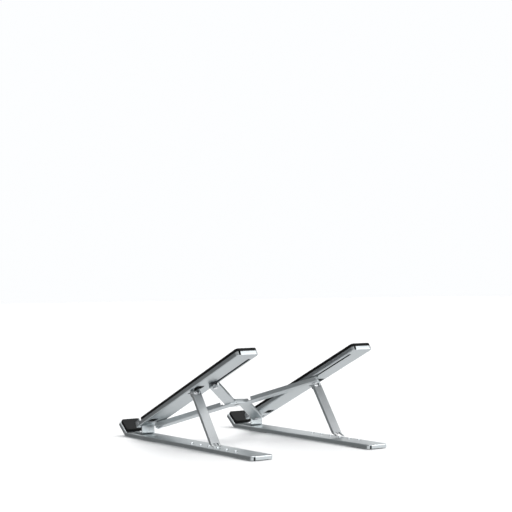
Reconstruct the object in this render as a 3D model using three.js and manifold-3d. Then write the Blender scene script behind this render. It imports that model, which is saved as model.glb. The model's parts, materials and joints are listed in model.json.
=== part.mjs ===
// Folding aluminium laptop stand: two side frames joined by a scissor of two dog-leg bars.
// Millimetres. X runs across the stand, -Y is the front with the lips, +Y the rear, +Z up.
// The part stands open: arms tilted, struts down, bars crossed. The origin is on the table,
// in the middle of the footprint.
import * as THREE from "three";
import { mergeVertices } from "three/addons/utils/BufferGeometryUtils.js";
import Module from "manifold-3d";

const wasm = await Module();
wasm.setup();

// ---------------------------------------------------------------- driving dimensions

const SHEET = 1.4; // rails and arms
const THIN_SHEET = 1.1; // struts and bars
const GAP = 0.3; // between pieces that touch
const CURVE = 4; // straight steps in a rounded corner
const ROUND = 16; // and in a hole or pin

const SIDE_X = 69.75; // middle of a side frame
const DIRECTION = { right: 1, left: -1 };
const CHANNEL_WIDTH = 24.9;
const CORNER_RADIUS = 3.5;
const RELIEF_GAP = 2; // slot between a folded end and the corner on its +X side
const RELIEF_INSET = 3.2; // side face to the middle of that slot

const FOOT_PROUD = 0.8; // feet below the rail
const FOOT_HALF_WIDTH = 9.6;
const FRONT_FOOT = { front: 24, rear: 60 };
const REAR_FOOT = { front: 203, rear: 233.8 }; // clear of the last notch
const RAIL_LENGTH = 236; // bend to rear end
const RAIL_HEIGHT = 4;
const LIP_ANGLE = THREE.MathUtils.degToRad(38);
const LIP_LENGTH = 20;
const LIP_REACH = LIP_LENGTH * Math.cos(LIP_ANGLE);
// margin is to the tip of the lip, bend to the line where it bends
const LIP_PAD = { halfWidth: 11.2, thickness: 2.6, margin: 0.8, bend: 2.8 };

const TILT = THREE.MathUtils.degToRad(24.16);
const ARM_START_Y = -1.2; // where the arm's underside, carried on, meets the rail's lower edge
const ARM_FRONT = 27.5;
const ARM_REAR = 235;
const ARM_HEIGHT = 4.3;
const HINGE_S = 32; // hinge pin along the arm
const HINGE_H = 3.6; // and above its underside
const EAR_HEIGHT = 6.6;
const EAR_REAR = { top: 35.2, bottom: 37.5 }; // where the hinge ear slopes down to the rim
const EAR_CORNER = 2.4;
const HINGE_CUTOUT = { halfWidth: 8, rear: 36.2 }; // room for the bracket between the ears
const FRONT_WINDOW = { left: 0.3, right: 9.3, front: 44.5, rear: 54.5 };
const SMALL_HOLE = { x: 6.05, s: 131.3, radius: 1.9 };
const HINGE_PIN_RADIUS = 1.5;
const BARREL_RADIUS = 3.2;
const BRACKET_WIDTH = 15;
const BRACKET_REACH = 14.5; // hinge pin to the front edge of the bracket's foot
const BRACKET_RIVETS = { spread: 3.8, ahead: 8 }; // off the middle, and in front of the hinge pin

const PAD_FRONT = 38.5;
const PAD_TOP = 7.6; // above the arm's underside
const KEEL = { inward: -4.9, outward: 10.6 }; // the pad's part inside the channel

const STRUT_DROP = THREE.MathUtils.degToRad(54.2); // below the horizontal
const STRUT_S = 139;
const STRUT_H = -2.65;
const STRUT_X = { right: 4.4, left: 7 }; // off the side frame's middle, outwards
const STRUT_WIDTH = 10.5;
const STRUT_BACK = 2.35; // pivot to the strut's rear face
const STRUT_DEPTH = 3.4;
const STRUT_HEEL = 57.3; // pivot to the front edge of the foot
const STRUT_TOE = 64.85; // pivot to the tip of the toes
const TOE_BACK = 4.3; // pivot to the toes' rear face
const TOE_WIDTH = 2.2;
const STRUT_PIN_RADIUS = 1.3;
const STRUT_EAR_RADIUS = 2.6;
const STRUT_LUG = 3; // pivot to where the strut's rear face begins
const STRUT_WINDOW = { front: 142.4, rear: 152, insideRim: 2 };
const EAR_CUTOUT = { front: 136, halfWidth: 2.4 }; // the sheet the ears were folded from

const NOTCH_COUNT = 6;
const NOTCH_FIRST_Y = 119.5;
const NOTCH_PITCH = 15.5;
const NOTCH_WINDOW = { front: 0.8, rear: 3.8 }; // from the middle of the tooth
const TOOTH = { halfWidth: 1.2, height: 1, root: 0.9, crestFront: -0.1, crestRear: 0.5 };

const PIVOT_X = 61.7; // pivots and slots of the bars
const LOWER_PIVOT_S = 42;
const BAR_HALF = 84.1; // centre pivot to end pivot, along the bar
const BAR_OFFSET = 6; // each half lies this far off the centre pivot
const BAR_WIDTH = 11;
const BAR_OVERHANG = 5; // end pivot to the end of the bar
const BAR_CLEAR = 0.6; // arm underside to the tops of the bars' sides
const UPPER_BAR_BOTTOM = -4.3;
const LOWER_BAR_BOTTOM = -5.7;
const KNEE_NEAR = 5;
const KNEE_FAR = 9;
const KNEE_SPAN = 14; // half the width that holds the whole knee
const BAR_END_RADIUS = 3;
const LOWER_BAR_NOTCH = 15; // its sides stop this far from the centre, to pass under the upper bar
const SLOT = { front: 153.5, rear: 223.7, width: 3.4 };
const SHANK_RADIUS = 1.3;
const HEAD_RADIUS = 2.7;
const HEAD_FLAT = 1.9; // radius of the flat on a rivet head
const COLLAR_RADIUS = 2.5;
const RING_RADIUS = 3.1;
const WASHER_BOTTOM = -1.2;

const PIVOT_RADIUS = Math.hypot(BAR_HALF, BAR_OFFSET);
const BAR_ANGLE = Math.asin(PIVOT_X / PIVOT_RADIUS) - Math.atan(BAR_OFFSET / BAR_HALF);
const CROSSING_S = LOWER_PIVOT_S + Math.sqrt(PIVOT_RADIUS ** 2 - PIVOT_X ** 2);
const UPPER_PIVOT_S = 2 * CROSSING_S - LOWER_PIVOT_S;
const PIVOT_OFFSET_X = PIVOT_X - SIDE_X; // seen from the side frame's middle

// ---------------------------------------------------------------- materials

const MATERIALS = {
  aluminium: { color: 0xc3c9cc, roughness: 0.34, metalness: 0.85 },
  steel: { color: 0xdfe2e4, roughness: 0.22, metalness: 0.95 },
  silicone: { color: 0x17181a, roughness: 0.75, metalness: 0 },
  nylon: { color: 0x2b2d30, roughness: 0.55, metalness: 0 },
};

// ---------------------------------------------------------------- shapes and solids

// A point (y, z) of the side view, carried from the arm's own axes to the stand's.
function armPoint(s, h) {
  const start = new THREE.Vector2(ARM_START_Y, 0);
  return new THREE.Vector2(s, h).rotateAround(new THREE.Vector2(), TILT).add(start);
}

const HINGE = armPoint(HINGE_S, HINGE_H);
const STRUT_PIVOT = armPoint(STRUT_S, STRUT_H);
const RIVET_OFFSETS = [-BRACKET_RIVETS.spread, BRACKET_RIVETS.spread];
const RIVET_Y = HINGE.x - BRACKET_RIVETS.ahead;

function solid(geometry) {
  const bare = geometry.clone();
  bare.deleteAttribute("normal");
  bare.deleteAttribute("uv");
  const merged = mergeVertices(bare, 1e-4);
  return new wasm.Manifold(
    new wasm.Mesh({
      numProp: 3,
      vertProperties: merged.attributes.position.array,
      triVerts: new Uint32Array(merged.index.array),
    }),
  );
}

function geometryOf(manifold) {
  const mesh = manifold.getMesh();
  const geometry = new THREE.BufferGeometry();
  geometry.setAttribute("position", new THREE.BufferAttribute(mesh.vertProperties, 3));
  geometry.setIndex(new THREE.BufferAttribute(mesh.triVerts, 1));
  return geometry.toNonIndexed();
}

function polygon(points) {
  return new THREE.Shape(points.map(([x, y]) => new THREE.Vector2(x, y)));
}

// A rectangle whose corners are rounded by one radius at each end.
function roundedBar(x0, x1, y0, y1, lowRadius, highRadius) {
  const shape = new THREE.Shape();
  const quarter = Math.PI / 2;
  shape.moveTo(x0 + lowRadius, y0);
  shape.lineTo(x1 - lowRadius, y0);
  if (lowRadius > 0) shape.absarc(x1 - lowRadius, y0 + lowRadius, lowRadius, -quarter, 0);
  shape.lineTo(x1, y1 - highRadius);
  if (highRadius > 0) shape.absarc(x1 - highRadius, y1 - highRadius, highRadius, 0, quarter);
  shape.lineTo(x0 + highRadius, y1);
  if (highRadius > 0) shape.absarc(x0 + highRadius, y1 - highRadius, highRadius, quarter, 2 * quarter);
  shape.lineTo(x0, y0 + lowRadius);
  if (lowRadius > 0) shape.absarc(x0 + lowRadius, y0 + lowRadius, lowRadius, 2 * quarter, 3 * quarter);
  return shape;
}

// A plan shape (x, y) raised from z0 to z1.
function raised(shape, z0, z1, steps = CURVE) {
  const options = { depth: z1 - z0, bevelEnabled: false, curveSegments: steps };
  const geometry = new THREE.ExtrudeGeometry(shape, options);
  return solid(geometry.translate(0, 0, z0));
}

// A side-view shape (y, z) carried across from x0 to x1.
function across(shape, x0, x1, steps = CURVE) {
  const options = { depth: x1 - x0, bevelEnabled: false, curveSegments: steps };
  const geometry = new THREE.ExtrudeGeometry(shape, options);
  const turn = new THREE.Matrix4().makeBasis(
    new THREE.Vector3(0, 1, 0),
    new THREE.Vector3(0, 0, 1),
    new THREE.Vector3(1, 0, 0),
  );
  return solid(geometry.applyMatrix4(turn).translate(x0, 0, 0));
}

function block(x0, x1, y0, y1, z0, z1) {
  const box = new THREE.BoxGeometry(x1 - x0, y1 - y0, z1 - z0);
  return solid(box.translate((x0 + x1) / 2, (y0 + y1) / 2, (z0 + z1) / 2));
}

// An upright round bar, and one that lies across.
function post(x, y, z0, z1, radius, steps = ROUND) {
  const cylinder = new THREE.CylinderGeometry(radius, radius, z1 - z0, steps);
  return solid(cylinder.rotateX(Math.PI / 2).translate(x, y, (z0 + z1) / 2));
}

function crossPost(x0, x1, y, z, radius, steps = ROUND) {
  const cylinder = new THREE.CylinderGeometry(radius, radius, x1 - x0, steps);
  return solid(cylinder.rotateZ(Math.PI / 2).translate((x0 + x1) / 2, y, z));
}

// A turned piece on an upright axis, from radius and height pairs that start and end on the axis.
function turned(pairs, steps = ROUND) {
  const profile = pairs.map(([radius, height]) => new THREE.Vector2(radius, height));
  return solid(new THREE.LatheGeometry(profile, steps).rotateX(Math.PI / 2));
}

// ---------------------------------------------------------------- side frame: rail

// The rail's side view between two heights above its underside: straight, then bent up as the lip.
function bentStrip(low, high, rear, tip) {
  const along = new THREE.Vector2(-Math.cos(LIP_ANGLE), Math.sin(LIP_ANGLE));
  const up = new THREE.Vector2(Math.sin(LIP_ANGLE), Math.cos(LIP_ANGLE));
  const corner = (height) => [height * Math.tan(LIP_ANGLE / 2), height];
  const end = (height) => [along.x * tip + up.x * height, along.y * tip + up.y * height];
  return polygon([corner(low), [rear, low], [rear, high], corner(high), end(high), end(low)]);
}

// The strip as a bar with its rear and lip corners rounded.
function bentBar(width, low, high, rear, tip, radius) {
  const half = width / 2;
  const far = 400;
  const bar = across(bentStrip(low, high, rear, tip), -half, half);
  const rearPlan = raised(roundedBar(-half, half, -far, rear, 0, radius), -far, far);
  const tipPlan = new THREE.ExtrudeGeometry(roundedBar(-half, half, -tip, far, radius, 0), {
    depth: 2 * far,
    bevelEnabled: false,
    curveSegments: CURVE,
  });
  tipPlan.translate(0, 0, -far).rotateX(-LIP_ANGLE);
  return bar.intersect(rearPlan).intersect(solid(tipPlan));
}

function notchPositions() {
  return Array.from({ length: NOTCH_COUNT }, (_, i) => NOTCH_FIRST_Y + i * NOTCH_PITCH);
}

function railBody(side) {
  const inset = CHANNEL_WIDTH - 2 * SHEET;
  const radius = CORNER_RADIUS - SHEET;
  const outer = bentBar(CHANNEL_WIDTH, 0, RAIL_HEIGHT, RAIL_LENGTH, LIP_LENGTH, CORNER_RADIUS);
  const inner = bentBar(inset, -2, RAIL_HEIGHT - SHEET, RAIL_LENGTH - SHEET, LIP_LENGTH - SHEET, radius);
  let rail = outer.subtract(inner);
  rail = rail.subtract(endRelief(DIRECTION[side], RAIL_LENGTH, -1, RAIL_HEIGHT - 0.5));
  const left = STRUT_X[side] - TOOTH.halfWidth;
  const right = STRUT_X[side] + TOOTH.halfWidth;
  const crest = RAIL_HEIGHT + TOOTH.height;
  const { front, rear } = NOTCH_WINDOW;
  for (const y of notchPositions()) {
    const tooth = polygon([
      [y - TOOTH.root, RAIL_HEIGHT - SHEET],
      [y + TOOTH.root, RAIL_HEIGHT - SHEET],
      [y + TOOTH.crestRear, crest],
      [y + TOOTH.crestFront, crest],
    ]);
    rail = rail.subtract(block(left - GAP, right + GAP, y + front, y + rear, 0, crest));
    rail = rail.add(across(tooth, left, right));
  }
  for (const x of RIVET_OFFSETS) {
    rail = rail.subtract(post(x, RIVET_Y, 0, RAIL_HEIGHT + 1, SHANK_RADIUS + GAP));
  }
  return rail;
}

// The slot cut between a folded end and the corner beside it.
function endRelief(slotSide, rear, low, high) {
  const x = slotSide * (CHANNEL_WIDTH / 2 - RELIEF_INSET);
  return block(x - RELIEF_GAP / 2, x + RELIEF_GAP / 2, rear - SHEET - 0.8, rear + 1, low, high);
}

function lipPad() {
  const low = RAIL_HEIGHT + GAP;
  const { halfWidth, thickness, margin, bend } = LIP_PAD;
  const plan = roundedBar(-halfWidth, halfWidth, margin - LIP_LENGTH, -bend, 2.5, 1);
  return raised(plan, low, low + thickness);
}

function foot({ front, rear }) {
  const plan = roundedBar(-FOOT_HALF_WIDTH, FOOT_HALF_WIDTH, front, rear, 3, 3);
  return raised(plan, -FOOT_PROUD, RAIL_HEIGHT - SHEET - GAP);
}

// ---------------------------------------------------------------- side frame: hinge bracket

function bracketBody() {
  const half = BRACKET_WIDTH / 2;
  const low = RAIL_HEIGHT + GAP;
  const rear = HINGE.x + SHEET / 2;
  const angle = polygon([
    [HINGE.x - BRACKET_REACH, low],
    [rear, low],
    [rear, HINGE.y],
    [rear - SHEET, HINGE.y],
    [rear - SHEET, low + SHEET],
    [HINGE.x - BRACKET_REACH, low + SHEET],
  ]);
  let bracket = across(angle, -half, half).add(crossPost(-half, half, HINGE.x, HINGE.y, BARREL_RADIUS));
  bracket = bracket.subtract(crossPost(-half - 1, half + 1, HINGE.x, HINGE.y, HINGE_PIN_RADIUS + GAP));
  for (const x of RIVET_OFFSETS) {
    bracket = bracket.subtract(post(x, RIVET_Y, 0, low + 4, SHANK_RADIUS + GAP));
  }
  return bracket;
}

function bracketRivet() {
  const top = RAIL_HEIGHT + 2 * GAP + SHEET;
  const bottom = RAIL_HEIGHT - SHEET - GAP;
  return turned([
    [0, bottom - 0.8],
    [2.2, bottom - 0.8],
    [2.2, bottom],
    [SHANK_RADIUS, bottom],
    [SHANK_RADIUS, top],
    [2.4, top],
    [1.9, top + 0.7],
    [0.9, top + 1],
    [0, top + 1],
  ]);
}

function hingePin() {
  const half = CHANNEL_WIDTH / 2 - 0.15;
  return crossPost(-half, half, 0, 0, HINGE_PIN_RADIUS);
}

// ---------------------------------------------------------------- side frame: arm

// In the arm's own axes: y runs up along the arm, z is height above its underside.
function armBody(side) {
  const half = CHANNEL_WIDTH / 2;
  const inner = half - SHEET;
  const radius = CORNER_RADIUS;
  const outside = raised(roundedBar(-half, half, ARM_FRONT, ARM_REAR, 0, radius), 0, ARM_HEIGHT);
  const hollow = roundedBar(-inner, inner, ARM_FRONT - 1, ARM_REAR - SHEET, 0, radius - SHEET);
  let arm = outside.subtract(raised(hollow, SHEET, ARM_HEIGHT + 1));
  arm = arm.subtract(endRelief(DIRECTION[side], ARM_REAR, 0.5, ARM_HEIGHT + 1));
  arm = arm.add(hingeEar(-half, -inner)).add(hingeEar(inner, half));
  const bay = HINGE_CUTOUT;
  arm = arm.subtract(block(-bay.halfWidth, bay.halfWidth, ARM_FRONT - 1, bay.rear, -1, EAR_HEIGHT + 1));
  arm = arm.subtract(crossPost(-half - 1, half + 1, HINGE_S, HINGE_H, HINGE_PIN_RADIUS + GAP));
  const { left, right, front, rear } = FRONT_WINDOW;
  arm = arm.subtract(raised(roundedBar(left, right, front, rear, 1, 1), -1, SHEET + 1));
  arm = arm.subtract(post(SMALL_HOLE.x, SMALL_HOLE.s, -1, SHEET + 1, SMALL_HOLE.radius));
  arm = arm.subtract(post(PIVOT_OFFSET_X, LOWER_PIVOT_S, -1, SHEET + 1, SHANK_RADIUS + GAP));
  arm = arm.subtract(barSlot());
  return addStrutEars(arm, STRUT_X[side]);
}

function hingeEar(x0, x1) {
  const outline = new THREE.Shape();
  outline.moveTo(ARM_FRONT, 0);
  outline.lineTo(EAR_REAR.bottom, 0);
  outline.lineTo(EAR_REAR.bottom, ARM_HEIGHT);
  outline.lineTo(EAR_REAR.top, EAR_HEIGHT);
  outline.lineTo(ARM_FRONT + EAR_CORNER, EAR_HEIGHT);
  outline.absarc(ARM_FRONT + EAR_CORNER, EAR_HEIGHT - EAR_CORNER, EAR_CORNER, Math.PI / 2, Math.PI);
  return across(outline, x0, x1);
}

function barSlot() {
  const half = SLOT.width / 2;
  const plan = roundedBar(PIVOT_OFFSET_X - half, PIVOT_OFFSET_X + half, SLOT.front, SLOT.rear, half, half);
  return raised(plan, -1, SHEET + 1);
}

// The window behind the strut, and the two ears folded down between its lugs that carry its pin.
function addStrutEars(arm, x) {
  const strutHalf = STRUT_WIDTH / 2;
  const { front, rear, insideRim } = STRUT_WINDOW;
  const windowOuter = Math.min(x + strutHalf - 0.5, CHANNEL_WIDTH / 2 - insideRim);
  const window = roundedBar(x - strutHalf + 0.8, windowOuter, front, rear, 0.5, 2);
  const { front: cutoutFront, halfWidth } = EAR_CUTOUT;
  const cutout = roundedBar(x - halfWidth, x + halfWidth, cutoutFront, front + 1, 0.5, 0);
  let result = arm.subtract(raised(window, -1, SHEET + 1)).subtract(raised(cutout, -1, SHEET + 1));
  const outline = new THREE.Shape();
  outline.moveTo(STRUT_S - STRUT_EAR_RADIUS, 0.5);
  outline.lineTo(STRUT_S - STRUT_EAR_RADIUS, STRUT_H);
  outline.absarc(STRUT_S, STRUT_H, STRUT_EAR_RADIUS, Math.PI, 2 * Math.PI);
  outline.lineTo(STRUT_S + STRUT_EAR_RADIUS, 0.5);
  for (const side of [-1, 1]) {
    const outer = x + side * (strutHalf - THIN_SHEET - GAP);
    const inner = outer - side * THIN_SHEET;
    result = result.add(across(outline, Math.min(inner, outer), Math.max(inner, outer)));
  }
  const bore = crossPost(x - strutHalf, x + strutHalf, STRUT_S, STRUT_H, STRUT_PIN_RADIUS + GAP);
  return result.subtract(bore);
}

// A flat rest that covers the arm's rims, with a keel in the channel beside the rivet heads.
function armPad() {
  const half = CHANNEL_WIDTH / 2 - 0.2;
  const seat = ARM_HEIGHT + GAP;
  const keelRear = ARM_REAR - SHEET - GAP;
  const cap = raised(roundedBar(-half, half, PAD_FRONT, ARM_REAR - 0.2, 1, CORNER_RADIUS), seat, PAD_TOP);
  const keelPlan = roundedBar(KEEL.inward, KEEL.outward, PAD_FRONT, keelRear, 0, 2);
  return cap.add(raised(keelPlan, SHEET + GAP, seat + 1));
}

// ---------------------------------------------------------------- side frame: strut

// In the strut's own axes: y runs down from its pivot, z points out of its rear face.
function strutBody() {
  const half = STRUT_WIDTH / 2;
  const front = STRUT_BACK - STRUT_DEPTH;
  const inside = STRUT_BACK - THIN_SHEET;
  const outline = new THREE.Shape();
  outline.moveTo(0, -STRUT_BACK);
  outline.absarc(0, 0, STRUT_BACK, -Math.PI / 2, -1.5 * Math.PI, true);
  outline.lineTo(STRUT_TOE - 4.4, STRUT_BACK);
  outline.lineTo(STRUT_TOE - 1.6, TOE_BACK);
  outline.lineTo(STRUT_TOE, TOE_BACK);
  outline.lineTo(STRUT_HEEL, front);
  outline.lineTo(3, front);
  const webHalf = half - THIN_SHEET;
  const toeGap = half - TOE_WIDTH;
  const below = -STRUT_BACK - 1;
  let strut = across(outline, -half, half);
  strut = strut.subtract(block(-webHalf, webHalf, below, STRUT_HEEL - 1, below, inside));
  strut = strut.subtract(block(-webHalf, webHalf, below, STRUT_LUG, below, STRUT_BACK + 1));
  strut = strut.subtract(block(-toeGap, toeGap, STRUT_HEEL - 2, STRUT_TOE, below, inside));
  strut = footWindows(strut, toeGap);
  return strut.subtract(crossPost(-half - 1, half + 1, 0, 0, STRUT_PIN_RADIUS + GAP));
}

// Two openings in the strut's rear face just above the rail, with a short tongue between them.
function footWindows(strut, toeGap) {
  const top = STRUT_TOE - 6.3;
  const tongueEnd = STRUT_TOE - 4.6;
  const tongueHalf = 0.9;
  const beyond = STRUT_TOE + 1;
  const low = -STRUT_DEPTH;
  const high = TOE_BACK + 1;
  return strut
    .subtract(block(-toeGap, -tongueHalf, top, beyond, low, high))
    .subtract(block(tongueHalf, toeGap, top, beyond, low, high))
    .subtract(block(-1, 1, tongueEnd, beyond, low, high));
}

function strutPin() {
  const half = STRUT_WIDTH / 2 + 0.35;
  return crossPost(-half, half, 0, 0, STRUT_PIN_RADIUS);
}

// ---------------------------------------------------------------- scissor bars

// The outline of a dog-leg bar whose lower half lies to +x and whose upper half lies to -x.
function dogLeg(halfWidth, end) {
  const inner = BAR_OFFSET - halfWidth;
  const outer = BAR_OFFSET + halfWidth;
  const shrink = (BAR_WIDTH / 2 - halfWidth) * 0.4;
  const near = KNEE_NEAR + shrink;
  const far = KNEE_FAR - shrink;
  return polygon([
    [inner, -end],
    [outer, -end],
    [outer, -near],
    [-inner, far],
    [-inner, end],
    [-outer, end],
    [-outer, near],
    [inner, -far],
  ]);
}

function barBody(bottom, flangeGap) {
  const half = BAR_WIDTH / 2;
  const end = BAR_HALF + BAR_OVERHANG;
  const inside = bottom + THIN_SHEET;
  let bar = raised(dogLeg(half, end), bottom, -BAR_CLEAR);
  bar = bar.subtract(raised(dogLeg(half - THIN_SHEET, end + 5), inside, 1));
  bar = bar.intersect(roundedEnd(BAR_OFFSET, -1, bottom).add(roundedEnd(-BAR_OFFSET, 1, bottom)));
  for (const side of [-1, 0, 1]) {
    bar = bar.subtract(post(side * BAR_OFFSET, -side * BAR_HALF, bottom - 1, inside + 1, SHANK_RADIUS + GAP));
  }
  if (flangeGap > 0) bar = bar.subtract(block(-KNEE_SPAN, KNEE_SPAN, -flangeGap, flangeGap, inside, 1));
  return bar;
}

// All of the bar on one side of its knee, with the far end's corners rounded.
function roundedEnd(x, direction, bottom) {
  const half = BAR_WIDTH / 2;
  const end = BAR_HALF + BAR_OVERHANG;
  const plan = roundedBar(x - half, x + half, -end, 0, BAR_END_RADIUS, 0);
  const limb = raised(plan, bottom - 1, 1);
  const knee = block(-KNEE_SPAN, KNEE_SPAN, 0, KNEE_FAR, bottom - 1, 1);
  return direction < 0 ? limb.add(knee) : limb.mirror([0, 1, 0]).add(knee.mirror([0, 1, 0]));
}

function centreRivet() {
  const low = LOWER_BAR_BOTTOM - GAP;
  const high = UPPER_BAR_BOTTOM + THIN_SHEET + GAP;
  return turned([
    [0, low - 0.9],
    [HEAD_FLAT, low - 0.9],
    [RING_RADIUS, low - 0.3],
    [RING_RADIUS, low],
    [SHANK_RADIUS, low],
    [SHANK_RADIUS, high],
    [RING_RADIUS, high],
    [RING_RADIUS, high + 0.7],
    [HEAD_FLAT, high + 1.1],
    [0, high + 1.1],
  ]);
}

// The heads of a rivet or pin, out from the axis below and back to it above.
function lowHead(low) {
  return [
    [0, low - 0.8],
    [HEAD_FLAT, low - 0.8],
    [HEAD_RADIUS, low - 0.3],
    [HEAD_RADIUS, low],
    [SHANK_RADIUS, low],
  ];
}

function highHead(high) {
  return [
    [SHANK_RADIUS, high],
    [HEAD_RADIUS, high],
    [HEAD_RADIUS, high + 0.7],
    [HEAD_FLAT, high + 1.2],
    [0, high + 1.2],
  ];
}

// The rivet that holds a bar's lower end under an arm.
function pivotRivet(bottom) {
  return turned([...lowHead(bottom - GAP), ...highHead(SHEET + GAP)]);
}

// The headed pin at a bar's upper end, with a shoulder under the arm and a neck in its slot.
function sliderPin(bottom) {
  const collarLow = bottom + THIN_SHEET + GAP;
  const collarHigh = WASHER_BOTTOM - GAP;
  return turned([
    ...lowHead(bottom - GAP),
    [SHANK_RADIUS, collarLow],
    [COLLAR_RADIUS, collarLow],
    [COLLAR_RADIUS, collarHigh],
    [SHANK_RADIUS, collarHigh],
    ...highHead(SHEET + GAP),
  ]);
}

// A flat ring round a shank, between two heights.
function ring(low, high) {
  const steps = 24;
  const disc = post(0, 0, low, high, RING_RADIUS, steps);
  return disc.subtract(post(0, 0, low - 1, high + 1, SHANK_RADIUS + GAP, steps));
}

// ---------------------------------------------------------------- assembly

function piece(name, manifold, finish) {
  const mesh = new THREE.Mesh(geometryOf(manifold), new THREE.MeshStandardMaterial(MATERIALS[finish]));
  mesh.name = name;
  return mesh;
}

function placed(mesh, x, y, z) {
  mesh.position.set(x, y, z);
  return mesh;
}

function base(side) {
  const group = new THREE.Group();
  group.add(piece(`rail_${side}`, railBody(side), "aluminium"));
  const pad = piece(`lip_pad_${side}`, lipPad(), "silicone");
  pad.rotation.x = -LIP_ANGLE;
  group.add(pad);
  group.add(piece(`foot_front_${side}`, foot(FRONT_FOOT), "silicone"));
  group.add(piece(`foot_rear_${side}`, foot(REAR_FOOT), "silicone"));
  group.add(piece(`hinge_bracket_${side}`, bracketBody(), "aluminium"));
  const [inward, outward] = RIVET_OFFSETS;
  group.add(placed(piece(`bracket_rivet_inner_${side}`, bracketRivet(), "steel"), inward, RIVET_Y, 0));
  group.add(placed(piece(`bracket_rivet_outer_${side}`, bracketRivet(), "steel"), outward, RIVET_Y, 0));
  group.add(placed(piece(`hinge_pin_${side}`, hingePin(), "steel"), 0, HINGE.x, HINGE.y));
  return group;
}

function strut(side) {
  const group = new THREE.Group();
  group.position.set(STRUT_X[side], STRUT_PIVOT.x, STRUT_PIVOT.y);
  group.rotation.x = -STRUT_DROP;
  group.add(piece(`strut_${side}`, strutBody(), "aluminium"));
  group.add(piece(`strut_pin_${side}`, strutPin(), "steel"));
  return group;
}

// The arm and what is fastened to it. One bar hangs from its lower pivot, the other slides in its slot.
function arm(side, pivotedBottom, slidingBottom) {
  const group = new THREE.Group();
  group.position.set(0, ARM_START_Y, 0);
  group.rotation.x = TILT;
  group.add(piece(`arm_${side}`, armBody(side), "aluminium"));
  group.add(piece(`arm_pad_${side}`, armPad(), "silicone"));
  const pivot = [PIVOT_OFFSET_X, LOWER_PIVOT_S, 0];
  const slider = [PIVOT_OFFSET_X, UPPER_PIVOT_S, 0];
  group.add(placed(piece(`pivot_rivet_${side}`, pivotRivet(pivotedBottom), "steel"), ...pivot));
  const spacer = ring(pivotedBottom + THIN_SHEET + GAP, -GAP);
  group.add(placed(piece(`pivot_spacer_${side}`, spacer, "nylon"), ...pivot));
  group.add(placed(piece(`slider_pin_${side}`, sliderPin(slidingBottom), "steel"), ...slider));
  group.add(placed(piece(`slider_washer_${side}`, ring(WASHER_BOTTOM, -GAP), "nylon"), ...slider));
  return group;
}

// The left frame mirrors the right one, except that both have their end slots on the +X side,
// and the left strut stands nearer to the outside.
function sideFrame(side, pivotedBottom, slidingBottom) {
  const group = new THREE.Group();
  group.position.x = DIRECTION[side] * SIDE_X;
  group.scale.x = DIRECTION[side];
  group.add(base(side), arm(side, pivotedBottom, slidingBottom), strut(side));
  return group;
}

function scissor() {
  const group = new THREE.Group();
  group.position.set(0, ARM_START_Y, 0);
  group.rotation.x = TILT;
  const crossing = new THREE.Group();
  crossing.position.y = CROSSING_S;
  const lower = piece("bar_lower", barBody(LOWER_BAR_BOTTOM, LOWER_BAR_NOTCH), "aluminium");
  lower.rotation.z = BAR_ANGLE;
  const upper = piece("bar_upper", barBody(UPPER_BAR_BOTTOM, 0), "aluminium");
  upper.rotation.z = -BAR_ANGLE;
  upper.scale.x = -1;
  crossing.add(lower, upper, piece("centre_rivet", centreRivet(), "steel"));
  group.add(crossing);
  return group;
}

const stand = new THREE.Group();
stand.name = "laptop_stand";
stand.position.set(0, (LIP_REACH - RAIL_LENGTH) / 2, FOOT_PROUD);
stand.add(sideFrame("right", LOWER_BAR_BOTTOM, UPPER_BAR_BOTTOM));
stand.add(sideFrame("left", UPPER_BAR_BOTTOM, LOWER_BAR_BOTTOM));
stand.add(scissor());

export default stand;
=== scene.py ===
"""The folding laptop stand, rebuilt as formed sheet metal, turned pins and moulded silicone.

Each piece is made in millimetres in its own frame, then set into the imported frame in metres.
The right side frame is made once. The left one mirrors it, except that both have their end slots
on the +X side, and that the left strut stands nearer to the outside.
"""

import json
import math

import bmesh
import bpy
from mathutils import Matrix, Vector


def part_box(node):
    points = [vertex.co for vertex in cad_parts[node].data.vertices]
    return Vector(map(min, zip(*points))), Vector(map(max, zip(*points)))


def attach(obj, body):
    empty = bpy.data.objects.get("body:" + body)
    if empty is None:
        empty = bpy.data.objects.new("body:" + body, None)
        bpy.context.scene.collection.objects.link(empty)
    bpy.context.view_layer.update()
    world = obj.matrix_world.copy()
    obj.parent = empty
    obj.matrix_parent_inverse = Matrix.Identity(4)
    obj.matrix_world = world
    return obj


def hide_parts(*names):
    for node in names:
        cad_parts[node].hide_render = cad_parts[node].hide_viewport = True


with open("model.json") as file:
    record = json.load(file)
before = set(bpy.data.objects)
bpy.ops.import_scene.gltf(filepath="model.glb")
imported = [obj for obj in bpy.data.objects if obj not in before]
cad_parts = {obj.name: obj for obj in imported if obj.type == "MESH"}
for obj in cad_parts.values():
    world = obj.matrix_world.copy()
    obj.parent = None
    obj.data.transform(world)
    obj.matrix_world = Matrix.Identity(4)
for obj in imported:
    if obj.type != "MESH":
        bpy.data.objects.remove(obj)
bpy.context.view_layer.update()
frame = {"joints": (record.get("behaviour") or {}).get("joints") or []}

# ---------------------------------------------------------------- places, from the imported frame

MM = 0.001
JOINTS = {joint["name"]: joint for joint in frame["joints"]}


def joint_place(name):
    return Vector(JOINTS[name]["pos_m"]) / MM


RAIL_LOW, RAIL_HIGH = (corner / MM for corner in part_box("rail_right"))
FOLD_AXIS = Vector(JOINTS["width_fold"]["axis"])
HINGE = joint_place("arm_tilt")
STRUT_PIVOT = joint_place("strut_right_swing")
LEFT_STRUT_PIVOT = joint_place("strut_left_swing")
CROSSING = joint_place("bar_crossing")
LOWER_PIVOT = joint_place("width_fold")

SIDE_X = (RAIL_LOW.x + RAIL_HIGH.x) / 2
TILT = math.atan2(FOLD_AXIS.y, -FOLD_AXIS.z)
FOOT_PROUD = RAIL_LOW.z

# ---------------------------------------------------------------- sizes in millimetres

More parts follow.
